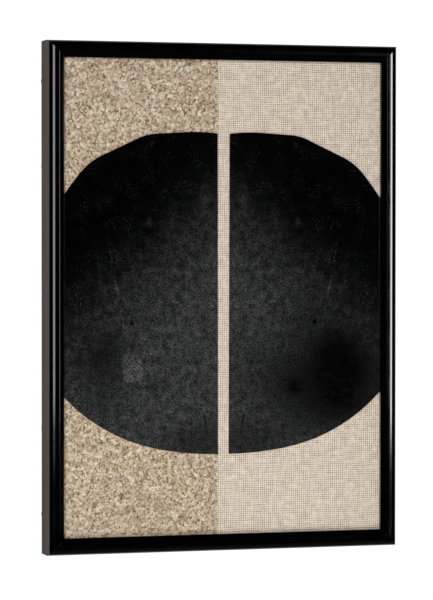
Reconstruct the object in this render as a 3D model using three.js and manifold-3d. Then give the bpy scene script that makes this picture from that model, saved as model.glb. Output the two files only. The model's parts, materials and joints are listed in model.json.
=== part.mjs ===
// A framed A3 pin board: a black mitred moulding holds a face that is half cork, half linen, with two thin
// black half-rounds, on a softboard core and a hardboard back that eight turn buttons keep in. Millimetres,
// +Z up, the face looks along -Y. The origin is on the wall plane, level with the hanger's middle notch.
import * as THREE from "three";
import { mergeVertices } from "three/addons/utils/BufferGeometryUtils.js";
import Module from "manifold-3d";

const wasm = await Module();
wasm.setup();

// ---- Driving dimensions ----
const FRAME_WIDTH = 315;
const FRAME_HEIGHT = 438;
const FRAME_TOP = 11; // height of the frame's top side above the hanger's middle notch
const MOULDING = 14.5; // width of the moulding, seen from the front
const LEG = 8; // width of the part of the moulding that stands beside the panels
const PANEL_WIDTH = 297;
const PANEL_HEIGHT = 420;

// Depths behind (towards 0, the wall) and in front of the panels, as Y positions.
const REAR = -3; // rear face of the moulding
const SHELF = -22.2; // rear side of the lip, against which the panels sit
const CREST = -29; // front of the moulding's bead
const BEAD_RADIUS = 7; // of the round from the side face to the crest
const BEND_RADIUS = 1.8; // of the tighter bend from the crest to the inner slope
const SLOPE = (38 * Math.PI) / 180; // tilt of the inner slope

const HALF_ROUND_FRONT = -22.15;
const HALF_ROUND_BACK = -21.25;
const FACE_FRONT = -21.2; // front of the cork and of the linen
const LINEN_BACK = -20.45;
const LINEN_BOARD_FRONT = -20.4;
const FACE_BACK = -16.2;
const CORE_FRONT = -16.15;
const CORE_BACK = -6.15;
const BACKING_FRONT = -6.1;
const BACKING_BACK = -3.1;

const SEAM_X = -5.4; // where the cork ends and the linen starts
const LAYER_GAP = 0.1;
const MITRE_GAP = 0.05; // from each rail's end to the plane of the mitre
const CUT_GAP = 0.3; // around what is driven into the wood

const HALF_ROUND_REACH = 147.4; // from the middle to a half-round's outer end, which lies under the lip

const BUTTON = { width: 8, reach: 20, thick: 1, front: -2.95, axis: LEG / 2 };
const SCREW = { head: 3, headHeight: 1.45, shoulder: 1.75, shank: 1.2, depth: 10 };
const BUTTON_CLEARANCE = 0.09; // radial, around the screw's shoulder
const STILE_BUTTON_Z = 112; // from the frame's centre
const RAIL_BUTTON_X = 82;

const HANGER = {
  width: 46,
  raised: 28, // width of the raised part between its bends
  thick: 0.9,
  footFront: -2.95,
  raisedFront: -1.4,
  top: 8.8,
  bottom: -2.2,
  footBottom: 3.6,
  nailX: 19,
  nailZ: 6.2,
};
const TOOTH_PITCH = 2.75;
const TOOTH_COUNT = 9;
const NAIL = { head: 2, headHeight: 0.6, shank: 0.8, depth: 9 };

const BUMPER = { radius: 3.7, inset: 34, edge: 0.5 };
const V_NAIL = { leg: 4.2, thick: 0.5, depth: 9, angle: Math.PI / 4 };

const CENTRE_Z = FRAME_TOP - FRAME_HEIGHT / 2;

// ---- Materials ----
function finish(color, roughness, metalness) {
  return () => new THREE.MeshStandardMaterial({ color, roughness, metalness });
}
const blackLacquer = finish(0x050505, 0.14, 0);
const cork = finish(0xa58e72, 0.95, 0);
const linen = finish(0xcdbda9, 0.95, 0);
const blackBoard = finish(0x141414, 0.85, 0);
const softboard = finish(0xb8a88c, 0.95, 0);
const hardboard = finish(0x6e5138, 0.75, 0);
const greyCard = finish(0xa7a198, 0.9, 0);
const zincSteel = finish(0xb9bcc0, 0.35, 1);
const brassSteel = finish(0xc2a35c, 0.35, 1);
const blackRubber = finish(0x1b1b1c, 0.8, 0);

// ---- Solids ----
function toSolid(geometry) {
  const plain = geometry.index ? geometry.toNonIndexed() : geometry.clone();
  plain.deleteAttribute("normal");
  plain.deleteAttribute("uv");
  const merged = mergeVertices(plain, 1e-4);
  return new wasm.Manifold(
    new wasm.Mesh({
      numProp: 3,
      vertProperties: merged.attributes.position.array,
      triVerts: new Uint32Array(merged.index.array),
    }),
  );
}

function toGeometry(solid) {
  const { vertProperties, triVerts } = solid.getMesh();
  const geometry = new THREE.BufferGeometry();
  geometry.setAttribute("position", new THREE.BufferAttribute(new Float32Array(vertProperties), 3));
  geometry.setIndex(new THREE.BufferAttribute(new Uint32Array(triVerts), 1));
  return geometry;
}

function cutAway(geometry, cutters) {
  return toGeometry(cutters.reduce((rest, cutter) => rest.subtract(toSolid(cutter)), toSolid(geometry)));
}

function join(geometries) {
  return toGeometry(geometries.map(toSolid).reduce((all, next) => all.add(next)));
}

// A box between two corners.
function boxBetween([x0, y0, z0], [x1, y1, z1]) {
  const box = new THREE.BoxGeometry(x1 - x0, y1 - y0, z1 - z0);
  return box.translate((x0 + x1) / 2, (y0 + y1) / 2, (z0 + z1) / 2);
}

// An outline drawn in X and Z, as thick as the space from yFront to yBack.
function slab(outline, yFront, yBack, curveSegments = 12) {
  const options = { depth: yBack - yFront, bevelEnabled: false, curveSegments };
  return new THREE.ExtrudeGeometry(outline, options).rotateX(Math.PI / 2).translate(0, yBack, 0);
}

// A solid of revolution about an axis along Y. Its profile has [radius, y] points that start and end on it.
function turned(profile, x, z, segments) {
  const points = profile.map(([radius, y]) => new THREE.Vector2(radius, y));
  return new THREE.LatheGeometry(points, segments).translate(x, 0, z);
}

function roundBar(radius, yFront, yBack, x, z, segments = 24) {
  return turned([[0, yFront], [radius, yFront], [radius, yBack], [0, yBack]], x, z, segments);
}

// ---- Moulding ----
// The section: x runs from the outer side to the sight edge, y is the depth.
function mouldingSection() {
  const section = new THREE.Shape();
  const bendX = 9.2; // where the flat crest ends
  const bendEnd = [bendX + BEND_RADIUS * Math.sin(SLOPE), CREST + BEND_RADIUS * (1 - Math.cos(SLOPE))];
  const lipX = MOULDING - 0.5;
  const lipY = bendEnd[1] + (lipX - bendEnd[0]) * Math.tan(SLOPE);
  section.moveTo(0.5, REAR);
  section.lineTo(0, REAR - 0.5);
  section.absarc(BEAD_RADIUS, CREST + BEAD_RADIUS, BEAD_RADIUS, Math.PI, 1.5 * Math.PI, false);
  section.absarc(bendX, CREST + BEND_RADIUS, BEND_RADIUS, 1.5 * Math.PI, 1.5 * Math.PI + SLOPE, false);
  section.lineTo(lipX, lipY);
  section.quadraticCurveTo(MOULDING, lipY + 0.4, MOULDING, lipY + 0.9); // rounded sight edge
  section.lineTo(MOULDING, SHELF);
  section.lineTo(LEG, SHELF);
  section.lineTo(LEG, REAR);
  return section;
}

// A rail along X with its outer side on z = 0 and both ends mitred.
function mitredRail(length) {
  const options = { depth: 1, bevelEnabled: false, curveSegments: 9 };
  const rail = new THREE.ExtrudeGeometry(mouldingSection(), options);
  const position = rail.attributes.position;
  for (let i = 0; i < position.count; i++) {
    const end = position.getZ(i) > 0.5 ? 1 : -1;
    position.setZ(i, end * (length / 2 - MITRE_GAP - position.getX(i)));
  }
  return rail.rotateY(Math.PI / 2);
}

// The four sides: turn is about Y from the top rail's place, out is from the frame's centre to the side.
const SIDES = {
  top: { rail: "top_rail", turn: 0, length: FRAME_WIDTH, out: FRAME_HEIGHT / 2 },
  right: { rail: "right_stile", turn: Math.PI / 2, length: FRAME_HEIGHT, out: FRAME_WIDTH / 2 },
  bottom: { rail: "bottom_rail", turn: Math.PI, length: FRAME_WIDTH, out: FRAME_HEIGHT / 2 },
  left: { rail: "left_stile", turn: -Math.PI / 2, length: FRAME_HEIGHT, out: FRAME_WIDTH / 2 },
};

// Moves what is drawn on the top rail (outer side on z = 0, middle at x = 0) to its own side of the frame.
function toSide(side, geometry) {
  return geometry.translate(0, 0, side.out).rotateY(side.turn).translate(0, 0, CENTRE_Z);
}

// The middle of a corner's mitre at the rear, as [x, z].
function cornerMiddle(signX, signZ) {
  return [signX * (FRAME_WIDTH / 2 - LEG / 2), CENTRE_Z + signZ * (FRAME_HEIGHT / 2 - LEG / 2)];
}

// A V-shaped nail across a corner's mitre. Its point looks out of the corner; grow widens it for its pocket.
function vNail(signX, signZ, grow) {
  const [x, z] = cornerMiddle(signX, signZ);
  const leg = V_NAIL.leg + grow;
  const half = V_NAIL.thick / 2 + grow;
  const legs = [-1, 1].map((side) => {
    const start = side < 0 ? -half : -V_NAIL.thick / 4;
    const plate = boxBetween([start, REAR - V_NAIL.depth - grow, -half], [leg, REAR - 0.2 + 4 * grow, half]);
    return plate.rotateY(side * V_NAIL.angle).translate(-leg / 2, 0, 0);
  });
  const outwards = Math.atan2(-signZ, signX); // angle about Y that turns +X out of the corner
  return join(legs).rotateY(outwards + Math.PI).translate(x, 0, z);
}

// ---- Turn buttons ----
// Where each button's screw stands: [name, side, place along the top rail before it is turned to that side].
const BUTTONS = [
  ["left_upper", SIDES.left, STILE_BUTTON_Z],
  ["left_lower", SIDES.left, -STILE_BUTTON_Z],
  ["right_upper", SIDES.right, -STILE_BUTTON_Z],
  ["right_lower", SIDES.right, STILE_BUTTON_Z],
  ["top_left", SIDES.top, -RAIL_BUTTON_X],
  ["top_right", SIDES.top, RAIL_BUTTON_X],
  ["bottom_left", SIDES.bottom, RAIL_BUTTON_X],
  ["bottom_right", SIDES.bottom, -RAIL_BUTTON_X],
];

// A flat steel strip with round ends. Its long end reaches in over the back.
function turnButton() {
  const r = BUTTON.width / 2;
  const outline = new THREE.Shape();
  outline.absarc(0, 0, r, 0, Math.PI, false);
  outline.lineTo(-r, -(BUTTON.reach - r));
  outline.absarc(0, -(BUTTON.reach - r), r, Math.PI, 2 * Math.PI, false);
  const hole = new THREE.Path();
  hole.absarc(0, 0, SCREW.shoulder + BUTTON_CLEARANCE, 0, 2 * Math.PI, true);
  outline.holes.push(hole);
  return slab(outline, BUTTON.front, BUTTON.front + BUTTON.thick, 16);
}

// A pan-head screw with a shoulder for the button to turn on and a cross recess.
function screw() {
  const seat = BUTTON.front + BUTTON.thick + 0.05;
  const top = seat + SCREW.headHeight;
  const shoulderFront = BUTTON.front + 0.05;
  const body = turned(
    [
      [0, REAR - SCREW.depth],
      [SCREW.shank, REAR - SCREW.depth + 2],
      [SCREW.shank, shoulderFront],
      [SCREW.shoulder, shoulderFront],
      [SCREW.shoulder, seat],
      [SCREW.head, seat],
      [SCREW.head, seat + 0.5],
      [SCREW.head * 0.82, top - 0.2],
      [SCREW.head * 0.45, top],
      [0, top],
    ],
    0,
    0,
    24,
  );
  const slots = [
    boxBetween([-1.5, top - 0.7, -0.3], [1.5, top + 1, 0.3]),
    boxBetween([-0.3, top - 0.7, -1.5], [0.3, top + 1, 1.5]),
  ];
  return cutAway(body, slots);
}

function onButtonAxis([, side, along], geometry) {
  return toSide(side, geometry.translate(along, 0, -BUTTON.axis));
}

// ---- Hanger ----
// A steel strip whose middle is raised off the rail, with saw teeth along the raised part's lower edge.
function sawtoothHanger() {
  const { width, raised, thick, footFront, raisedFront, top, bottom, footBottom } = HANGER;
  const bend = 2.2;
  const strip = new THREE.Shape();
  const side = [
    [width / 2, footFront],
    [raised / 2 + bend, footFront],
    [raised / 2, raisedFront],
    [-raised / 2, raisedFront],
    [-raised / 2 - bend, footFront],
    [-width / 2, footFront],
  ];
  const back = side.map(([x, y]) => [x, y + thick]).reverse();
  [...side, ...back].forEach(([x, y], i) => (i ? strip.lineTo(x, y) : strip.moveTo(x, y)));
  const plate = new THREE.ExtrudeGeometry(strip, { depth: top - bottom, bevelEnabled: false });
  plate.translate(0, 0, bottom);

  const cutters = [-1, 1].map((s) => {
    const [inner, outer] = [raised / 2 - 0.2, width / 2 + 1].map((x) => s * x);
    return boxBetween([Math.min(inner, outer), -4, bottom - 1], [Math.max(inner, outer), 1, footBottom]);
  });
  for (let i = 0; i < TOOTH_COUNT; i++) {
    const x = (i - (TOOTH_COUNT - 1) / 2) * TOOTH_PITCH;
    const notch = new THREE.Shape();
    notch.moveTo(x - TOOTH_PITCH / 2, bottom - 0.01);
    notch.lineTo(x + TOOTH_PITCH / 2, bottom - 0.01);
    notch.lineTo(x, 0);
    cutters.push(slab(notch, -4, 1));
  }
  for (const s of [-1, 1]) {
    cutters.push(roundBar(NAIL.shank + CUT_GAP, -4, 1, s * HANGER.nailX, HANGER.nailZ));
  }
  return cutAway(plate, cutters);
}

function hangerNail(sign) {
  const seat = HANGER.footFront + HANGER.thick + 0.05;
  const profile = [
    [0, REAR - NAIL.depth],
    [NAIL.shank, REAR - NAIL.depth + 1.6],
    [NAIL.shank, seat],
    [NAIL.head, seat],
    [NAIL.head * 0.9, seat + NAIL.headHeight * 0.6],
    [NAIL.head * 0.5, seat + NAIL.headHeight],
    [0, seat + NAIL.headHeight],
  ];
  return turned(profile, sign * HANGER.nailX, HANGER.nailZ, 24);
}

// ---- Face ----
function panel(x0, x1, yFront, yBack) {
  const low = CENTRE_Z - PANEL_HEIGHT / 2;
  return boxBetween([x0, yFront, low], [x1, yBack, low + PANEL_HEIGHT]);
}

// One half-round, drawn for the right side with z = 0 at the panel's centre: a straight inner edge,
// a hand-cut top of flat runs with soft corners, and one round sweep along the bottom.
function halfRound(sign, innerTop, innerBottom) {
  const outline = new THREE.Shape();
  outline.moveTo(innerTop, 141.2);
  outline.quadraticCurveTo(18, 142.7, 30, 142.4);
  outline.lineTo(60, 140.6);
  outline.quadraticCurveTo(70, 140, 79, 135.4);
  outline.lineTo(109, 121.4);
  outline.quadraticCurveTo(116, 118.2, 123, 112);
  outline.quadraticCurveTo(133, 102, HALF_ROUND_REACH, 80);
  outline.lineTo(HALF_ROUND_REACH, -79);
  outline.bezierCurveTo(131, -97.5, 113, -111, 88, -121.6);
  outline.bezierCurveTo(64, -131.4, 34, -135.4, innerBottom, -135.5);
  const plate = slab(outline, HALF_ROUND_FRONT, HALF_ROUND_BACK, 10);
  return (sign < 0 ? mirrored(plate) : plate).translate(0, 0, CENTRE_Z);
}

// The mirror image across x = 0, with each face turned round so that it still looks outwards.
function mirrored(geometry) {
  const flipped = geometry.clone().scale(-1, 1, 1);
  const position = flipped.attributes.position;
  for (let i = 0; i < position.count; i += 3) {
    const [x, y, z] = [position.getX(i), position.getY(i), position.getZ(i)];
    position.setXYZ(i, position.getX(i + 1), position.getY(i + 1), position.getZ(i + 1));
    position.setXYZ(i + 1, x, y, z);
  }
  return flipped;
}

// ---- Assembly ----
const board = new THREE.Group();
board.name = "cork_bulletin_board";

function add(name, geometry, material) {
  geometry.computeVertexNormals();
  const mesh = new THREE.Mesh(geometry, material());
  mesh.name = name;
  board.add(mesh);
}

const CORNERS = [
  ["top_left", -1, 1],
  ["top_right", 1, 1],
  ["bottom_left", -1, -1],
  ["bottom_right", 1, -1],
];
const vNailPockets = CORNERS.map(([, x, z]) => vNail(x, z, CUT_GAP));
const nailHoles = [-1, 1].map((s) =>
  roundBar(NAIL.shank + CUT_GAP, REAR - NAIL.depth - CUT_GAP, 1, s * HANGER.nailX, HANGER.nailZ),
);

for (const side of Object.values(SIDES)) {
  const screwHoles = BUTTONS.filter(([, its]) => its === side).map((button) =>
    onButtonAxis(button, roundBar(SCREW.shank + CUT_GAP, REAR - SCREW.depth - CUT_GAP, 1, 0, 0)),
  );
  const holes = [...vNailPockets, ...screwHoles, ...(side === SIDES.top ? nailHoles : [])];
  add(side.rail, cutAway(toSide(side, mitredRail(side.length)), holes), blackLacquer);
}
for (const [name, x, z] of CORNERS) add(`v_nail_${name}`, vNail(x, z, 0), zincSteel);

const edge = PANEL_WIDTH / 2;
add("cork_sheet", panel(-edge, SEAM_X - LAYER_GAP, FACE_FRONT, FACE_BACK), cork);
add("linen_cover", panel(SEAM_X, edge, FACE_FRONT, LINEN_BACK), linen);
add("linen_board", panel(SEAM_X, edge, LINEN_BOARD_FRONT, FACE_BACK), greyCard);
add("left_half_round", halfRound(-1, 5.9, 5.45), blackBoard);
add("right_half_round", halfRound(1, 5.2, 4.4), blackBoard);
add("core_board", panel(-edge, edge, CORE_FRONT, CORE_BACK), softboard);
add("backing_board", panel(-edge, edge, BACKING_FRONT, BACKING_BACK), hardboard);

for (const button of BUTTONS) {
  add(`button_${button[0]}`, onButtonAxis(button, turnButton()), zincSteel);
  add(`screw_${button[0]}`, onButtonAxis(button, screw()), brassSteel);
}

add("sawtooth_hanger", sawtoothHanger(), zincSteel);
add("hanger_nail_left", hangerNail(-1), brassSteel);
add("hanger_nail_right", hangerNail(1), brassSteel);

for (const [name, signX, signZ] of CORNERS) {
  const { radius, inset, edge: round } = BUMPER;
  const x = signX * (FRAME_WIDTH / 2 - LEG / 2);
  const z = CENTRE_Z + signZ * (FRAME_HEIGHT / 2 - inset);
  const profile = [[0, REAR + 0.05], [radius, REAR + 0.05], [radius, -round], [radius - round, 0], [0, 0]];
  add(`bumper_${name}`, turned(profile, x, z, 32), blackRubber);
}

export default board;
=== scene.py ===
"""The pin board's looks: a black beaded frame round a face of cork and linen with two worn black half-rounds.

Positions are in metres in the row frame: +Z up, the face looks along -Y, the wall plane is y = 0."""

import json
import math

import bmesh
import bpy
import numpy as np
from mathutils import Matrix, Vector


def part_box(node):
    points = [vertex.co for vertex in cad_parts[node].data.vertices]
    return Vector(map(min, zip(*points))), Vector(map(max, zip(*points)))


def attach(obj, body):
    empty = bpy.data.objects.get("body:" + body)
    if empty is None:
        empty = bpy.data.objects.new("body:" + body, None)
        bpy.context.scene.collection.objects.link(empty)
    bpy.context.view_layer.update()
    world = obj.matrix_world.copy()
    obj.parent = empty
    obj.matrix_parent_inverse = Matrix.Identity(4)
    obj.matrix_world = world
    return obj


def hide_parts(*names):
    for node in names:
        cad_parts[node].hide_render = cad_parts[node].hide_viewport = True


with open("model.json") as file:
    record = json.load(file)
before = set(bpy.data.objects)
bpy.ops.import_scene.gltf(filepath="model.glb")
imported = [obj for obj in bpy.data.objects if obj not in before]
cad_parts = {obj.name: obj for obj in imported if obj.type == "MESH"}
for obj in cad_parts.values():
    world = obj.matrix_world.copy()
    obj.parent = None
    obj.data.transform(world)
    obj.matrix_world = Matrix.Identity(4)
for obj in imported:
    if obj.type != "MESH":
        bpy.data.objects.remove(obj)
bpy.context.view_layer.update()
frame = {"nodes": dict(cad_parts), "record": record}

MM = 0.001
SEED = 7

LEFT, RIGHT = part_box("left_stile"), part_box("right_stile")
LOW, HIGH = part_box("bottom_rail"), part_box("top_rail")
CENTRE_X = (LEFT[0][0] + RIGHT[1][0]) / 2
CENTRE_Z = (LOW[0][2] + HIGH[1][2]) / 2
HALF_W = (RIGHT[1][0] - LEFT[0][0]) / 2
HALF_H = (HIGH[1][2] - LOW[0][2]) / 2
FRONT_Y = LEFT[0][1]
MOULDING = LEFT[1][0] - LEFT[0][0]
BEAD = 7 * MM  # radius of the moulding's outer round: behind it the sides are matt


# ---------------------------------------------------------------- node helpers
def node(tree, kind, inputs=None, **settings):
    made = tree.nodes.new(kind)
    for key, value in settings.items():
        setattr(made, key, value)
    for key, value in (inputs or {}).items():
        plug(tree, made.inputs[key], value)
    return made


def plug(tree, socket, value):
    if isinstance(value, bpy.types.NodeSocket):
        tree.links.new(value, socket)
    else:
        socket.default_value = value


def calc(tree, operation, a, b=0.0, clamp=False):
    return node(tree, "ShaderNodeMath", {0: a, 1: b}, operation=operation, use_clamp=clamp).outputs[0]


def vec(tree, operation, a, b=(0, 0, 0)):
    made = node(tree, "ShaderNodeVectorMath", {0: a, 1: b}, operation=operation)
    return made.outputs["Value"] if operation in ("LENGTH", "DOT_PRODUCT", "DISTANCE") else made.outputs[0]


def spread(tree, value, low, high, to_low=0.0, to_high=1.0, smooth=True):
    """value from low..high to to_low..to_high, held at both ends."""
    kind = "SMOOTHSTEP" if smooth else "LINEAR"
    inputs = {"Value": value, "From Min": low, "From Max": high, "To Min": to_low, "To Max": to_high}
    return node(tree, "ShaderNodeMapRange", inputs, interpolation_type=kind, clamp=True).outputs[0]


def noise(tree, place, size, detail=3.0, rough=0.5, stretch=(1, 1, 1), distortion=0.0):
    """Noise from 0 to 1 whose features are about size metres across."""
    scaled = vec(tree, "MULTIPLY", place, tuple(s / size for s in stretch))
    inputs = {"Vector": scaled, "Scale": 1.0, "Detail": detail, "Roughness": rough, "Distortion": distortion}
    return node(tree, "ShaderNodeTexNoise", inputs).outputs[0]


def ramp(tree, value, stops):
    made = node(tree, "ShaderNodeValToRGB", {"Fac": value})
    elements = made.color_ramp.elements
    while len(elements) < len(stops):
        elements.new(0.5)
    for element, (position, colour) in zip(elements, stops):
        element.position = position
        element.color = (*colour, 1) if isinstance(colour, tuple) else (colour, colour, colour, 1)
    return made.outputs[0]


def blend(tree, factor, a, b, how="MIX"):
    made = node(tree, "ShaderNodeMix", data_type="RGBA", blend_type=how)
    plug(tree, made.inputs["Factor"], factor)
    for socket, value in ((made.inputs[6], a), (made.inputs[7], b)):
        plug(tree, socket, value if isinstance(value, bpy.types.NodeSocket) else (*value, 1))
    return made.outputs[2]


def bump(tree, height, strength, distance):
    inputs = {"Height": height, "Strength": strength, "Distance": distance}
    return node(tree, "ShaderNodeBump", inputs).outputs[0]


def material(name):
    """A new material, its tree, its shader and the place in the row frame."""
    made = bpy.data.materials.new(name)
    made.use_nodes = True
    tree = made.node_tree
    place = node(tree, "ShaderNodeTexCoord").outputs["Object"]
    return made, tree, tree.nodes["Principled BSDF"], place


def shade(tree, shader, **inputs):
    for key, value in inputs.items():
        if isinstance(value, tuple) and len(value) == 3:
            value = (*value, 1)
        plug(tree, shader.inputs[key.replace("_", " ")], value)


# ---------------------------------------------------------------- materials
def lacquer():
    made, tree, shader, place = material("black_lacquer")
    cloud = noise(tree, place, 30 * MM, 3)
    fine = noise(tree, place, 1.5 * MM, 2)
    colour = blend(tree, cloud, (0.0002, 0.0002, 0.0002), (0.0006, 0.0006, 0.0007))
    rough = spread(tree, cloud, 0.3, 0.7, 0.08, 0.13)
    # The gloss is duller from the bend inwards, where cloths do not reach.
    xyz = node(tree, "ShaderNodeSeparateXYZ", {0: place}).outputs
    from_x = calc(tree, "SUBTRACT", HALF_W, calc(tree, "ABSOLUTE", calc(tree, "SUBTRACT", xyz[0], CENTRE_X)))
    from_z = calc(tree, "SUBTRACT", HALF_H, calc(tree, "ABSOLUTE", calc(tree, "SUBTRACT", xyz[2], CENTRE_Z)))
    out = calc(tree, "MINIMUM", from_x, from_z)
    gloss = spread(tree, out, 0.56 * MOULDING, 0.62 * MOULDING, 0.62, 0.16)
    shade(tree, shader, Base_Color=colour, Roughness=rough, IOR=1.5, Specular_IOR_Level=gloss)
    shade(tree, shader, Normal=bump(tree, fine, 0.03, 0.05 * MM))
    return made


def taupe():
    """The moulding's matt side: streaks along the length, browner at the rear, greyer by the bead."""
    made, tree, shader, place = material("taupe_side")
    xyz = node(tree, "ShaderNodeSeparateXYZ", {0: place}).outputs
    streak = noise(tree, place, 1.2 * MM, 3, stretch=(0.2, 1, 0.02))
    cloud = noise(tree, place, 60 * MM, 2)
    tone = calc(tree, "ADD", calc(tree, "MULTIPLY", streak, 0.6), calc(tree, "MULTIPLY", cloud, 0.4))
    colour = blend(tree, tone, (0.063, 0.0445, 0.036), (0.091, 0.068, 0.056))
    to_rear = spread(tree, xyz[1], -6.5 * MM, -3 * MM)
    to_bead = spread(tree, xyz[1], FRONT_Y + BEAD + 4 * MM, FRONT_Y + BEAD)
    colour = blend(tree, calc(tree, "MULTIPLY", to_rear, 0.6), colour, (0.057, 0.039, 0.031))
    colour = blend(tree, calc(tree, "MULTIPLY", to_bead, 0.7), colour, (0.092, 0.086, 0.079))
    shade(tree, shader, Base_Color=colour, Roughness=spread(tree, streak, 0.2, 0.8, 0.55, 0.75))
    shade(tree, shader, Specular_IOR_Level=0.25, Normal=bump(tree, streak, 0.12, 0.1 * MM))
    return made


def fibreboard(name, dark, light, grain):
    made, tree, shader, place = material(name)
    fibre = noise(tree, place, grain, 5, 0.65, distortion=0.6)
    speck = noise(tree, place, grain * 0.3, 2)
    cloud = noise(tree, place, 70 * MM, 2)
    colour = blend(tree, spread(tree, fibre, 0.25, 0.75), dark, light)
    colour = blend(tree, spread(tree, speck, 0.62, 0.75, 0, 0.55), colour, tuple(c * 0.45 for c in dark))
    colour = blend(tree, spread(tree, cloud, 0.3, 0.8, 0, 0.25), colour, tuple(c * 1.25 for c in light))
    shade(tree, shader, Base_Color=colour, Roughness=spread(tree, fibre, 0.2, 0.8, 0.7, 0.9))
    shade(tree, shader, Specular_IOR_Level=0.3, Normal=bump(tree, fibre, 0.3, 0.15 * MM))
    return made


def metal(name, dark, light):
    made, tree, shader, place = material(name)
    cloud = noise(tree, place, 4 * MM, 4)
    brushed = noise(tree, place, 0.5 * MM, 3, stretch=(1, 1, 0.08))
    colour = blend(tree, spread(tree, cloud, 0.3, 0.7), dark, light)
    rough = spread(tree, brushed, 0.2, 0.8, 0.26, 0.48)
    shade(tree, shader, Base_Color=colour, Metallic=1.0, Roughness=rough)
    shade(tree, shader, Normal=bump(tree, brushed, 0.12, 0.03 * MM))
    return made


def rubber():
    made, tree, shader, place = material("rubber")
    dust = noise(tree, place, 1.6 * MM, 4)
    colour = blend(tree, spread(tree, dust, 0.5, 0.8, 0, 0.5), (0.012, 0.012, 0.013), (0.06, 0.058, 0.055))
    shade(tree, shader, Base_Color=colour, Roughness=spread(tree, dust, 0.3, 0.7, 0.62, 0.82))
    shade(tree, shader, Normal=bump(tree, dust, 0.25, 0.06 * MM))
    return made


def cork():
    """Granules: each vertex of the relief carries its granule's tone and how dark it is drawn. That darkness grows
    with how deep in a seam the vertex is and is full in pits: partly the cork's own dark gaps, partly painted shade.
    """
    made, tree, shader, place = material("cork")
    data = node(tree, "ShaderNodeAttribute", attribute_name="granule")
    split = node(tree, "ShaderNodeSeparateColor", {0: data.outputs["Color"]}).outputs
    fine = noise(tree, place, 0.7 * MM, 3, 0.65)
    grain = noise(tree, place, 1.8 * MM, 5, 0.7)
    cloud = noise(tree, place, 12 * MM, 3)
    warm = noise(tree, place, 5 * MM, 2)
    bent = wavering(tree, place, 1.8 * MM, 3.0, (2.4 * MM,) * 3)
    flake, flake_edge = granules(tree, bent, 3.5 * MM)
    crumb, crumb_edge = granules(tree, bent, 1.6 * MM)
    mixed = calc(tree, "ADD", calc(tree, "MULTIPLY", flake[2], 0.32), calc(tree, "MULTIPLY", split[0], 0.14))
    mixed = calc(tree, "ADD", mixed, calc(tree, "MULTIPLY", crumb[0], 0.2))
    mixed = calc(tree, "ADD", mixed, calc(tree, "MULTIPLY", calc(tree, "SUBTRACT", fine, 0.5), 0.6))
    mixed = calc(tree, "ADD", mixed, calc(tree, "SUBTRACT", calc(tree, "MULTIPLY", grain, 0.6), 0.06))
    colour = ramp(
        tree,
        mixed,
        [
            (0.1, (0.24, 0.165, 0.1)),
            (0.32, (0.45, 0.335, 0.215)),
            (0.55, (0.58, 0.46, 0.315)),
            (0.75, (0.67, 0.56, 0.41)),
            (0.92, (0.8, 0.73, 0.61)),
        ],
    )
    seam = calc(tree, "MULTIPLY", flake_edge, spread(tree, noise(tree, place, 3.4 * MM, 2), 0.44, 0.56))
    split_crumbs = spread(tree, noise(tree, vec(tree, "ADD", place, (0.1, 0, 0)), 2.4 * MM, 2), 0.5, 0.6)
    crack = calc(tree, "MULTIPLY", crumb_edge, split_crumbs)
    colour = blend(tree, spread(tree, flake[0], 0.85, 0.9, 0, 0.55), colour, (0.8, 0.72, 0.59))
    colour = blend(tree, spread(tree, flake[1], 0.88, 0.92, 0, 0.45), colour, (0.33, 0.24, 0.16))
    colour = blend(tree, spread(tree, crumb[1], 0.93, 0.95, 0, 0.75), colour, (0.16, 0.1, 0.06))
    colour = blend(tree, spread(tree, crumb[2], 0.93, 0.95, 0, 0.6), colour, (0.86, 0.8, 0.69))
    # Painted shade, partly the cork's own dark gaps: seams, cracks and pits are drawn darker.
    colour = blend(tree, spread(tree, split[1], 0.3, 1.0, 0, 0.35), colour, (0.2, 0.13, 0.08))
    colour = blend(tree, calc(tree, "MULTIPLY", seam, 0.95), colour, (0.12, 0.07, 0.038))
    colour = blend(tree, calc(tree, "MULTIPLY", crack, 0.75), colour, (0.15, 0.092, 0.055))
    specks = spread(tree, noise(tree, place, 1.3 * MM, 2, 0.6), 0.64, 0.69, 0, 0.9)
    colour = blend(tree, specks, colour, (0.085, 0.048, 0.028))
    colour = blend(tree, spread(tree, cloud, 0.35, 0.7, 0, 0.2), colour, (0.42, 0.345, 0.27))
    colour = blend(tree, spread(tree, warm, 0.5, 0.75, 0, 0.2), colour, (0.62, 0.42, 0.27))
    height = calc(tree, "SUBTRACT", calc(tree, "ADD", grain, calc(tree, "MULTIPLY", fine, 0.5)), seam)
    shade(tree, shader, Base_Color=colour, Roughness=spread(tree, grain, 0.2, 0.8, 0.82, 0.95))
    shade(tree, shader, Specular_IOR_Level=0.15, Normal=bump(tree, height, 0.6, 0.25 * MM))
    return made


def granules(tree, place, size):
    """Granules about size metres across: three random numbers for each, and 1 in the seams between them."""
    cells = node(tree, "ShaderNodeTexVoronoi", {"Vector": place, "Scale": 1 / size})
    traits = node(tree, "ShaderNodeSeparateColor", {0: cells.outputs["Color"]}).outputs
    edges = node(tree, "ShaderNodeTexVoronoi", {"Vector": place, "Scale": 1 / size}, feature="DISTANCE_TO_EDGE")
    return traits, spread(tree, edges.outputs["Distance"], 0.03, 0.12, 1.0, 0.0)


THREAD = 1.9 * MM  # from one thread of the linen to the next


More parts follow.
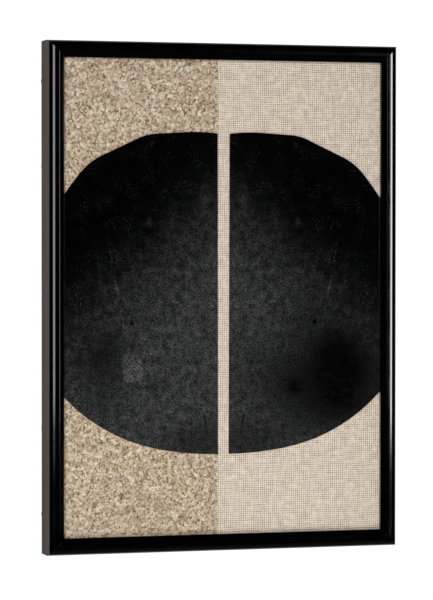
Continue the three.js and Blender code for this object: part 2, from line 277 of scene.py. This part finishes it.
def linen():
    """Plain weave: threads up and across, each with its own tone, thick and thin places and loose fibres."""
    made, tree, shader, place = material("linen")
    wander = noise(tree, place, 15 * MM, 4)
    shift = calc(tree, "MULTIPLY", calc(tree, "SUBTRACT", wander, 0.5), 1.6 * MM)
    xyz = node(tree, "ShaderNodeSeparateXYZ", {0: place}).outputs
    across = calc(tree, "ADD", xyz[0], shift)
    upwards = calc(tree, "SUBTRACT", xyz[2], shift)
    turn = 2 * math.pi / THREAD
    wave_x = calc(tree, "COSINE", calc(tree, "MULTIPLY", across, turn))
    wave_z = calc(tree, "COSINE", calc(tree, "MULTIPLY", upwards, turn))
    half_x = calc(tree, "COSINE", calc(tree, "MULTIPLY", across, turn / 2))
    half_z = calc(tree, "COSINE", calc(tree, "MULTIPLY", upwards, turn / 2))
    over = calc(tree, "MULTIPLY", half_x, half_z)  # which of the two threads is on top
    warp = noise(tree, place, THREAD, 3, stretch=(1, 0, 0.14))
    weft = noise(tree, place, THREAD, 3, stretch=(0.14, 0, 1))
    fibre = noise(tree, place, 0.6 * MM, 2)
    beside_x = calc(tree, "MULTIPLY", calc(tree, "SUBTRACT", 1.0, wave_x), 0.5)
    beside_z = calc(tree, "MULTIPLY", calc(tree, "SUBTRACT", 1.0, wave_z), 0.5)
    gap = calc(tree, "MULTIPLY", beside_x, beside_z)
    openness = spread(tree, noise(tree, place, 4.5 * MM, 4, 0.65), 0.36, 0.62, 0.15, 1.15)
    hole = calc(tree, "MULTIPLY", spread(tree, gap, 0.16, 0.8), openness)
    # Painted shade: thin darker lines in the grooves between threads.
    lines = calc(tree, "ADD", spread(tree, beside_x, 0.6, 1), spread(tree, beside_z, 0.6, 1))
    tone = calc(tree, "ADD", calc(tree, "MULTIPLY", warp, 0.46), calc(tree, "MULTIPLY", weft, 0.46))
    tone = calc(tree, "ADD", tone, calc(tree, "MULTIPLY", calc(tree, "SUBTRACT", fibre, 0.5), 0.35))
    tone = calc(tree, "ADD", tone, calc(tree, "SUBTRACT", 0.15, calc(tree, "MULTIPLY", lines, 0.1)))
    # Painted highlight and shade: the weave is drawn a little lighter at some crossings and darker at the others, by
    # which thread lies on top.
    tone = calc(tree, "ADD", tone, calc(tree, "MULTIPLY", over, 0.04))
    colour = ramp(
        tree,
        tone,
        [
            (0.2, (0.36, 0.275, 0.2)),
            (0.4, (0.56, 0.46, 0.37)),
            (0.6, (0.735, 0.635, 0.53)),
            (0.82, (0.87, 0.795, 0.7)),
        ],
    )
    # Painted shade in the gaps of the weave, where the backing shows in shadow.
    colour = blend(tree, hole, colour, (0.14, 0.095, 0.062))
    height = calc(tree, "SUBTRACT", calc(tree, "MULTIPLY", fibre, 0.3), gap)
    shade(tree, shader, Base_Color=colour, Roughness=spread(tree, fibre, 0.2, 0.8, 0.85, 0.98))
    shade(tree, shader, Specular_IOR_Level=0.1, Sheen_Weight=0.08, Sheen_Roughness=0.5)
    shade(tree, shader, Normal=bump(tree, height, 0.5, 0.3 * MM))
    return made


def wavering(tree, place, size, detail, reach):
    """The place moved to and fro by up to half of reach, so that outlines drawn at it waver over size metres."""
    wander = node(tree, "ShaderNodeTexNoise", {"Vector": place, "Scale": 1 / size, "Detail": detail})
    moved = vec(tree, "SUBTRACT", wander.outputs["Color"], (0.5, 0.5, 0.5))
    return vec(tree, "ADD", place, vec(tree, "MULTIPLY", moved, reach))


def spot(tree, place, x, z, reach_x, reach_z, soft=0.0):
    """1 in the middle of an oval at x, z (in mm, from the board's centre), 0 outside it."""
    moved = vec(tree, "SUBTRACT", place, (x * MM, 0, z * MM + CENTRE_Z))
    scaled = vec(tree, "MULTIPLY", moved, (1 / (reach_x * MM), 0, 1 / (reach_z * MM)))
    return spread(tree, vec(tree, "LENGTH", scaled), soft, 1.0, 1.0, 0.0)


def stroke(tree, place, start, end, width):
    """1 on a straight line from start to end (in mm, from the board's centre), 0 beyond its width."""
    a = Vector((start[0] * MM, 0, start[1] * MM + CENTRE_Z))
    b = Vector((end[0] * MM, 0, end[1] * MM + CENTRE_Z))
    along = (b - a).normalized()
    moved = vec(tree, "MULTIPLY", vec(tree, "SUBTRACT", place, tuple(a)), (1, 0, 1))
    reached = calc(tree, "MAXIMUM", vec(tree, "DOT_PRODUCT", moved, tuple(along)), 0.0)
    reached = calc(tree, "MINIMUM", reached, (b - a).length)
    foot = node(tree, "ShaderNodeVectorMath", {0: tuple(along), "Scale": reached}, operation="SCALE").outputs[0]
    return spread(tree, vec(tree, "DISTANCE", moved, foot), 0.2 * width * MM, width * MM, 1.0, 0.0)


def black_board(name, patch_levels, lip_glint, extra):
    """Worn black board, mirrored about the middle: grey with dust below, black towards the outer top.

    patch_levels is how much paler its one worn-through patch is, and lip_glint how pale it is beside the frame's
    lip. That pale band is a painted highlight standing for light caught by the lip's rounded sight edge.
    extra lists more spots as (x, z, reach_x, reach_z, levels)."""
    made, tree, shader, place = material(name)
    xyz = node(tree, "ShaderNodeSeparateXYZ", {0: place}).outputs
    mirrored = node(tree, "ShaderNodeCombineXYZ", {0: calc(tree, "ABSOLUTE", xyz[0]), 1: 0.0, 2: xyz[2]}).outputs[0]
    cloud = noise(tree, mirrored, 26 * MM, 5, 0.6)
    mottle = noise(tree, mirrored, 7 * MM, 6, 0.75)
    speck = noise(tree, mirrored, 1.1 * MM, 3, 0.7)
    # How far a point is on the dusty side of the slanting edge of the black part, in metres.
    from_edge = vec(tree, "SUBTRACT", mirrored, (13 * MM, 0, 95 * MM + CENTRE_Z))
    line = vec(tree, "DOT_PRODUCT", from_edge, (-0.656, 0, -0.756))
    line = calc(tree, "ADD", line, calc(tree, "MULTIPLY", calc(tree, "SUBTRACT", cloud, 0.5), 50 * MM))
    line = calc(tree, "ADD", line, calc(tree, "MULTIPLY", calc(tree, "SUBTRACT", mottle, 0.5), 22 * MM))
    where = spread(tree, line, -40 * MM, 80 * MM, smooth=False)
    level = ramp(
        tree,
        where,
        [(0.0, 0.008), (0.2, 0.045), (0.33, 0.088), (0.42, 0.122), (0.55, 0.152), (0.75, 0.186), (0.9, 0.208)],
    )
    level = node(tree, "ShaderNodeRGBToBW", {0: level}).outputs[0]
    ragged = wavering(tree, mirrored, 9 * MM, 4.0, (11 * MM, 0, 11 * MM))
    barely_ragged = wavering(tree, mirrored, 12 * MM, 3.0, (5 * MM, 0, 5 * MM))
    spots = [
        (105, -55, 40, 42, -0.075),
        (112, -92, 40, 26, -0.04),
        (20, -124, 62, 24, -0.055),
        (63, -78, 12, 12, -0.055),
        (82, -22, 2.4, 4.5, -0.15),
        (17, -106, 1.8, 6.5, -0.1),
        (121, 74, 3.4, 3.4, 0.085),
        (106, 82, 13, 12, 0.04),
        (68, 64, 6, 8, 0.05),
        (66, 131, 4, 7, 0.05),
        (50, -114, 4, 16, 0.02),
        (17.5, 52, 2.4, 5, -0.06),
        *extra,
    ]
    patchy = spread(tree, mottle, 0.3, 0.7, 0.5, 1.5, smooth=False)
    for x, z, reach_x, reach_z, levels in spots:
        shape = calc(tree, "MULTIPLY", spot(tree, ragged, x, z, reach_x, reach_z), patchy)
        level = calc(tree, "ADD", level, calc(tree, "MULTIPLY", shape, levels))
    patch = spot(tree, ragged, 82.5, -60, 11, 15, soft=0.75)
    level = calc(tree, "ADD", level, calc(tree, "MULTIPLY", patch, patch_levels))
    strokes = [
        ((105, 52), (96, 8), 0.9, 0.075),
        ((96, 8), (89, -26), 0.8, 0.045),
        ((112, 30), (110, 12), 0.7, 0.05),
        ((17.5, 55), (17.5, 20), 0.7, -0.05),
        ((17.5, 20), (7, -12), 0.6, -0.05),
        ((47, -66), (12, -30), 0.55, -0.045),
        ((82, 40), (52, 38), 0.6, -0.05),
        ((126, -92), (80, -124), 0.5, -0.04),
    ]
    for start, end, width, levels in strokes:
        worn = calc(tree, "MULTIPLY", stroke(tree, barely_ragged, start, end, width), levels)
        level = calc(tree, "ADD", level, calc(tree, "MULTIPLY", worn, spread(tree, mottle, 0.3, 0.6)))
    level = calc(tree, "MAXIMUM", level, 0.006)
    grain = calc(tree, "ADD", calc(tree, "MULTIPLY", speck, 1.0), calc(tree, "MULTIPLY", mottle, 0.75))
    grain = spread(tree, grain, 0.65, 1.1, 0.15, 1.85, smooth=False)
    level = calc(tree, "MULTIPLY", level, grain)
    pits = spread(tree, noise(tree, mirrored, 1.6 * MM, 2, 0.6), 0.35, 0.41, 0.3, 1.0)
    level = calc(tree, "MULTIPLY", level, pits)
    crumbs = spread(tree, noise(tree, mirrored, 1.2 * MM, 2, 0.6), 0.58, 0.66, 0, 0.2)
    crumbs = calc(tree, "MULTIPLY", crumbs, spread(tree, noise(tree, mirrored, 15 * MM, 3), 0.44, 0.62, 0.15, 1))
    level = calc(tree, "ADD", level, calc(tree, "MULTIPLY", crumbs, spread(tree, where, 0.25, 0.5, 1, 0.25)))
    # Painted highlight: a pale band on the board just inside the frame's lip stands for light caught by the lip's
    # rounded sight edge.
    lip = HALF_W - MOULDING
    painted_lip_glint = spread(tree, calc(tree, "ABSOLUTE", xyz[0]), lip - 1.6 * MM, lip - 0.7 * MM, 0, lip_glint)
    level = calc(tree, "MAXIMUM", level, calc(tree, "MULTIPLY", painted_lip_glint, patchy))
    tone = calc(tree, "POWER", level, 2.2)
    colour = blend(tree, cloud, (1.0, 1.0, 1.0), (0.97, 0.985, 1.0))
    grey = node(tree, "ShaderNodeCombineColor", {0: tone, 1: tone, 2: tone}).outputs[0]
    colour = blend(tree, 1.0, colour, grey, "MULTIPLY")
    shade(tree, shader, Base_Color=colour, Roughness=spread(tree, mottle, 0.2, 0.8, 0.8, 0.95))
    shade(tree, shader, Specular_IOR_Level=0.02, Normal=bump(tree, speck, 0.15, 0.05 * MM))
    return made


LACQUER, TAUPE = lacquer(), taupe()
RAW_WOOD = fibreboard("raw_wood_fibre", (0.16, 0.105, 0.062), (0.33, 0.24, 0.155), 1.6 * MM)
HARDBOARD = fibreboard("hardboard", (0.085, 0.05, 0.028), (0.165, 0.105, 0.06), 2.2 * MM)
SOFTBOARD = fibreboard("softboard", (0.3, 0.23, 0.15), (0.5, 0.41, 0.29), 3 * MM)
CARD = fibreboard("grey_card", (0.3, 0.29, 0.27), (0.42, 0.405, 0.38), 1.2 * MM)
ZINC = metal("zinc_steel", (0.5, 0.51, 0.53), (0.72, 0.73, 0.75))
BRASS = metal("brass_steel", (0.52, 0.38, 0.15), (0.74, 0.57, 0.27))
RUBBER, CORK, LINEN = rubber(), cork(), linen()
BOARD_LEFT = black_board("black_board_left", 0.075, 0.2, [])
BOARD_RIGHT = black_board(
    "black_board_right", 0.0, 0.12, [(106, -84, 92, 70, -0.1), (84, -22, 48, 46, -0.03), (62, -66, 90, 70, -0.055)]
)


# ---------------------------------------------------------------- pieces from CAD nodes
BODY_OF = {n: body for body, nodes in frame["record"]["behaviour"]["bodies"].items() for n in nodes}


def link(name, mesh, *nodes):
    """A new piece that stands for those CAD nodes and rides on their body."""
    piece = bpy.data.objects.new(name, mesh)
    bpy.context.scene.collection.objects.link(piece)
    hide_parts(*nodes)
    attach(piece, BODY_OF[nodes[0]])
    return piece


def softened(name, source, materials, edge, pick=None, smooth_below=28):
    """A piece with a CAD node's shape, its flat parts whole, its edges rounded by edge metres and its curves smooth.

    pick(centre, normal) gives a face's material by number."""
    mesh = frame["nodes"][source].data.copy()
    shape = bmesh.new()
    shape.from_mesh(mesh)
    bmesh.ops.remove_doubles(shape, verts=shape.verts, dist=1e-6)
    bmesh.ops.dissolve_limit(shape, angle_limit=math.radians(0.5), verts=shape.verts, edges=shape.edges)
    bmesh.ops.recalc_face_normals(shape, faces=shape.faces)
    shape.to_mesh(mesh)
    shape.free()
    mesh.materials.clear()
    for each in materials:
        mesh.materials.append(each)
    for face in mesh.polygons:
        face.material_index = pick(face.center, face.normal) if pick else 0
    mesh.shade_smooth()
    mesh.set_sharp_from_angle(angle=math.radians(smooth_below))
    piece = link(name, mesh, source)
    if edge:
        rounding = piece.modifiers.new("edges", "BEVEL")
        rounding.width = edge
        rounding.segments = 2
        rounding.limit_method = "ANGLE"
        rounding.angle_limit = math.radians(smooth_below)
        rounding.harden_normals = True
    return piece


def moulding_side(centre, normal):
    """0 on the lacquered front, 1 on the matt outer sides, 2 on the raw rear."""
    out = min(HALF_W - abs(centre.x - CENTRE_X), HALF_H - abs(centre.z - CENTRE_Z))
    to_rear = normal.y > 0.9
    if centre.y < FRONT_Y + BEAD * 0.4 or (out > MOULDING * 0.6 and not to_rear):
        return 0
    return 1 if out < BEAD * 0.5 and not to_rear else 2


for rail in ("left_stile", "right_stile", "top_rail", "bottom_rail"):
    softened(f"{rail}_moulding", rail, [LACQUER, TAUPE, RAW_WOOD], 0, moulding_side)

softened("backing_panel", "backing_board", [HARDBOARD], 0.25 * MM)
softened("left_black_board", "left_half_round", [BOARD_LEFT], 0.12 * MM)
softened("right_black_board", "right_half_round", [BOARD_RIGHT], 0.12 * MM)
softened("sawtooth_strip", "sawtooth_hanger", [ZINC], 0.1 * MM)
for source in BODY_OF:
    if source.startswith("button_"):
        softened(f"turn_{source}", source, [ZINC], 0.15 * MM)
    elif source.startswith(("screw_", "hanger_nail_")):
        softened(f"{source}_head", source, [BRASS], 0)
    elif source.startswith("bumper_"):
        softened(f"{source}_pad", source, [RUBBER], 0)

for names, look in (
    (["core_board"], SOFTBOARD),
    (["linen_board"], CARD),
    ([n for n in BODY_OF if n.startswith("v_nail_")], ZINC),
):
    for name in names:
        frame["nodes"][name].data.materials.clear()
        frame["nodes"][name].data.materials.append(look)


# ---------------------------------------------------------------- cork and linen
def relief(name, source, step, depth_at, look, attribute=None):
    """A sheet in a CAD node's box whose front is sunk by depth_at(x, z), in metres, with an even rear."""
    low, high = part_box(source)
    nx = max(2, round((high[0] - low[0]) / step) + 1)
    nz = max(2, round((high[2] - low[2]) / step) + 1)
    x, z = np.meshgrid(np.linspace(low[0], high[0], nx), np.linspace(low[2], high[2], nz), indexing="ij")
    sunk, colours = depth_at(x, z)
    points = np.stack([x, low[1] + sunk, z], -1).reshape(-1, 3)
    at = np.arange(nx * nz).reshape(nx, nz)
    quads = np.stack([at[:-1, :-1], at[1:, :-1], at[1:, 1:], at[:-1, 1:]], -1).reshape(-1, 4)
    rim = np.concatenate([at[:-1, 0], at[-1, :-1], at[:0:-1, -1], at[0, :0:-1]])
    rear = points[rim] * (1, 0, 1) + (0, high[1], 0)
    behind = len(points) + np.arange(len(rim))
    sides = np.stack([np.roll(rim, -1), rim, behind, np.roll(behind, -1)], -1)
    mesh = bpy.data.meshes.new(name)
    mesh.from_pydata(
        np.concatenate([points, rear]).tolist(), [], [*quads.tolist(), *sides.tolist(), behind[::-1].tolist()]
    )
    if attribute:
        held = mesh.color_attributes.new(attribute, "FLOAT_COLOR", "POINT")
        values = np.ones((len(points) + len(rear), 4), np.float32)
        values[: len(points), :3] = colours.reshape(-1, 3)
        values[len(points) :, :3] = colours.reshape(-1, 3)[rim]
        held.data.foreach_set("color", values.ravel())
    mesh.materials.append(look)
    mesh.shade_smooth()
    mesh.set_sharp_from_angle(angle=math.radians(70))
    return link(name, mesh, source)


def cells(x, z, spacing, seed):
    """For each point, the distances to the nearest and next seed of a jittered grid, and three random numbers."""
    rng = np.random.default_rng(seed)
    count = 512
    jitter = rng.random((count, count, 2))
    traits = rng.random((count, count, 3))
    u, v = x / spacing + 200.0, z / spacing + 200.0
    iu, iv = np.floor(u).astype(int), np.floor(v).astype(int)
    first = np.full(x.shape, 9.0)
    second = np.full(x.shape, 9.0)
    found = np.zeros((*x.shape, 3))
    for du in (-1, 0, 1):
        for dv in (-1, 0, 1):
            a, b = (iu + du) % count, (iv + dv) % count
            away = np.hypot(iu + du + jitter[a, b, 0] - u, iv + dv + jitter[a, b, 1] - v)
            nearer = away < first
            second = np.where(nearer, first, np.minimum(second, away))
            found[nearer] = traits[a, b][nearer]
            first = np.where(nearer, away, first)
    return first, second, found


def cork_depth(x, z):
    """Granules of two sizes pressed together: seams between them, tilted faces and a few pits."""
    wobble_x = 0.5 * MM * np.sin(z / (1.9 * MM) + 1.3 * np.sin(x / (3.1 * MM)))
    wobble_z = 0.5 * MM * np.sin(x / (2.3 * MM) + 1.7 * np.sin(z / (2.7 * MM)))
    near, far, big = cells(x + wobble_x, z + wobble_z, 3.4 * MM, SEED)
    near_small, far_small, small = cells(x - wobble_z, z + wobble_x, 1.7 * MM, SEED + 1)
    seam = np.exp(-(((far - near) / 0.16) ** 2))
    seam_small = np.exp(-(((far_small - near_small) / 0.2) ** 2))
    broken = big[..., 1] < 0.55  # granules that are made of small ones
    level = np.where(broken, small[..., 0], big[..., 0])
    deep = np.where(broken, np.maximum(seam * 0.7, seam_small * 0.8), seam)
    pit = (small[..., 2] > 0.965) & (near_small < 0.42)
    sunk = 0.1 * MM * level + 0.22 * MM * deep * (0.4 + 0.6 * big[..., 2]) + 0.35 * MM * pit
    tone = np.where(broken, 0.55 * small[..., 1] + 0.45 * big[..., 0], 0.3 + 0.7 * big[..., 0])
    # Painted shade, partly the cork's own dark gaps: seams darken with their depth and pits are fully dark.
    dark = np.clip(deep * (0.35 + 0.9 * small[..., 2] ** 2) + pit, 0, 1)
    return sunk + 0.02 * MM, np.stack([tone, dark, big[..., 2]], -1)


def linen_depth(x, z):
    """Plain weave: a rise at each crossing, a dip at each gap, and threads of uneven thickness."""
    rng = np.random.default_rng(SEED + 2)
    upright = rng.normal(0, 1, 4096)[(x / THREAD + 2000).astype(int) % 4096]
    level = rng.normal(0, 1, 4096)[(z / THREAD + 2000).astype(int) % 4096]
    wave_x, wave_z = np.cos(2 * np.pi * x / THREAD), np.cos(2 * np.pi * z / THREAD)
    sunk = 0.12 * MM - 0.02 * MM * (wave_x + wave_z) + 0.04 * MM * (1 - wave_x) * (1 - wave_z) / 2
    return np.clip(sunk - 0.008 * MM * (upright + level), 0.03 * MM, 0.3 * MM), None


relief("cork_face", "cork_sheet", 0.8 * MM, cork_depth, CORK, "granule")
cloth = relief("linen_cloth", "linen_cover", THREAD / 2, linen_depth, LINEN)


# ---------------------------------------------------------------- stage, light and camera
CENTRE = Vector((CENTRE_X, FRONT_Y, CENTRE_Z))


def softbox(name, azimuth, width, low, high, strength, away=1.5, fade=0.06):
    """A glowing upright panel, azimuth degrees to the right of straight ahead of the board, which it faces.

    low and high are its ends' heights from the board's centre. It fades out over fade metres at each side."""
    height = high - low
    turn = math.radians(azimuth)
    mesh = bpy.data.meshes.new(name)
    x, z = width / 2, height / 2
    mesh.from_pydata([(-x, 0, -z), (x, 0, -z), (x, 0, z), (-x, 0, z)], [], [(0, 1, 2, 3)])
    box = bpy.data.objects.new(name, mesh)
    bpy.context.scene.collection.objects.link(box)
    box.location = CENTRE + Vector((math.sin(turn) * away, -math.cos(turn) * away, (low + high) / 2))
    box.rotation_euler = (0, 0, turn)
    glow = bpy.data.materials.new(name)
    glow.use_nodes = True
    tree = glow.node_tree
    tree.nodes.clear()
    xyz = node(tree, "ShaderNodeSeparateXYZ", {0: node(tree, "ShaderNodeTexCoord").outputs["Object"]}).outputs
    from_side = calc(tree, "SUBTRACT", width / 2, calc(tree, "ABSOLUTE", xyz[0]))
    from_foot = calc(tree, "ADD", xyz[2], height / 2)
    shape = calc(tree, "MULTIPLY", spread(tree, from_side, 0, fade * 2), spread(tree, from_foot, 0, fade))
    power = calc(tree, "MULTIPLY", shape, strength)
    light = node(tree, "ShaderNodeEmission", {"Color": (1, 1, 1, 1), "Strength": power})
    out = node(tree, "ShaderNodeOutputMaterial", {"Surface": light.outputs[0]})
    out.is_active_output = True
    mesh.materials.append(glow)
    box.visible_camera = box.visible_diffuse = box.visible_shadow = False  # it only makes the lacquer shine


def lamp(name, place, size, watts, shadow=True):
    """A soft square lamp, at place from the board's centre and aimed at it, which nothing shiny shows."""
    light = bpy.data.lights.new(name, "AREA")
    light.size = size
    light.energy = watts
    light.cycles.cast_shadow = shadow
    made = bpy.data.objects.new(name, light)
    bpy.context.scene.collection.objects.link(made)
    made.location = CENTRE + Vector(place)
    made.rotation_euler = (-Vector(place)).to_track_quat("-Z", "Y").to_euler()
    made.visible_glossy = False


softbox("softbox_left", -30, 0.76, -0.212, 0.62, 5.0, fade=0.045)
softbox("softbox_right", 41, 0.66, -0.235, 0.62, 13.5, fade=0.045)
lamp("key", (-1.45, -2.3, 0.75), 0.8, 46)
lamp("low_fill", (0, -0.85, -0.8), 0.7, 5.3, shadow=False)
lamp("rear_fill", (0.9, 2.2, 0.9), 1.2, 60)

floor_mesh = bpy.data.meshes.new("floor")
FLOOR_RADIUS, FLOOR_Z, FLOOR_POINTS = 4.0, CENTRE_Z - 0.9, 120
around = [2 * math.pi * i / FLOOR_POINTS for i in range(FLOOR_POINTS)]
rim = [(FLOOR_RADIUS * math.cos(a), FLOOR_RADIUS * math.sin(a), FLOOR_Z) for a in around]
floor_mesh.from_pydata(rim, [], [tuple(range(FLOOR_POINTS))])
floor = bpy.data.objects.new("floor", floor_mesh)
bpy.context.scene.collection.objects.link(floor)
pale, tree, shader, place = material("pale_floor")
tone = blend(tree, noise(tree, place, 0.2, 2), (0.86, 0.86, 0.86), (0.9, 0.9, 0.9))
shade(tree, shader, Base_Color=tone, Roughness=0.9)
floor_mesh.materials.append(pale)
floor.visible_glossy = False

world = bpy.data.worlds.new("studio")
bpy.context.scene.world = world
world.use_nodes = True
tree = world.node_tree
tree.nodes.clear()
# The background is white. Shiny surfaces see light only from behind the board and a little from below it.
ray = node(tree, "ShaderNodeLightPath").outputs
way = node(tree, "ShaderNodeSeparateXYZ", {0: node(tree, "ShaderNodeTexCoord").outputs["Generated"]}).outputs
behind = spread(tree, way[1], 0.35, 0.7, 0.0, 0.7)
below = spread(tree, way[2], -0.9, -0.5, 0.06, 0.0)
shine = calc(tree, "MAXIMUM", behind, below)
soft = calc(tree, "MULTIPLY", calc(tree, "SUBTRACT", 1.0, ray["Is Glossy Ray"]), 0.2)
power = calc(tree, "ADD", calc(tree, "MULTIPLY", ray["Is Glossy Ray"], shine), soft)
power = calc(tree, "MAXIMUM", power, calc(tree, "MULTIPLY", ray["Is Camera Ray"], 1.05))
sky = node(tree, "ShaderNodeBackground", {"Color": (1, 1, 1, 1), "Strength": power})
node(tree, "ShaderNodeOutputWorld", {"Surface": sky.outputs[0]})

PHOTO_SIDE, FOCAL_PX = 600, 2959  # the picture's longer side and the lens's focal length, in pixels
YAW, PITCH, ROLL = 0.29694, 0.021824, 0.000617
EYE_X, EYE_Y, EYE_ABOVE_CENTRE = -0.7541, -2.4642, 0.0534
lens = bpy.data.cameras.new("camera")
lens.sensor_width = 36
lens.lens = FOCAL_PX / PHOTO_SIDE * lens.sensor_width
lens.clip_end = 20
eye = bpy.data.objects.new("camera", lens)
bpy.context.scene.collection.objects.link(eye)
ahead = Vector((math.sin(YAW) * math.cos(PITCH), math.cos(YAW) * math.cos(PITCH), -math.sin(PITCH)))
right = Vector((math.cos(YAW), -math.sin(YAW), 0))
up = right.cross(ahead)
tilted = right * math.cos(ROLL) + up * math.sin(ROLL)
upright = up * math.cos(ROLL) - right * math.sin(ROLL)
turned = Matrix((tilted, upright, -ahead)).transposed().to_4x4()
eye.matrix_world = Matrix.Translation((EYE_X, EYE_Y, CENTRE_Z + EYE_ABOVE_CENTRE)) @ turned
bpy.context.scene.camera = eye

bpy.context.scene.view_settings.view_transform = "Standard"
bpy.context.scene.view_settings.look = "None"
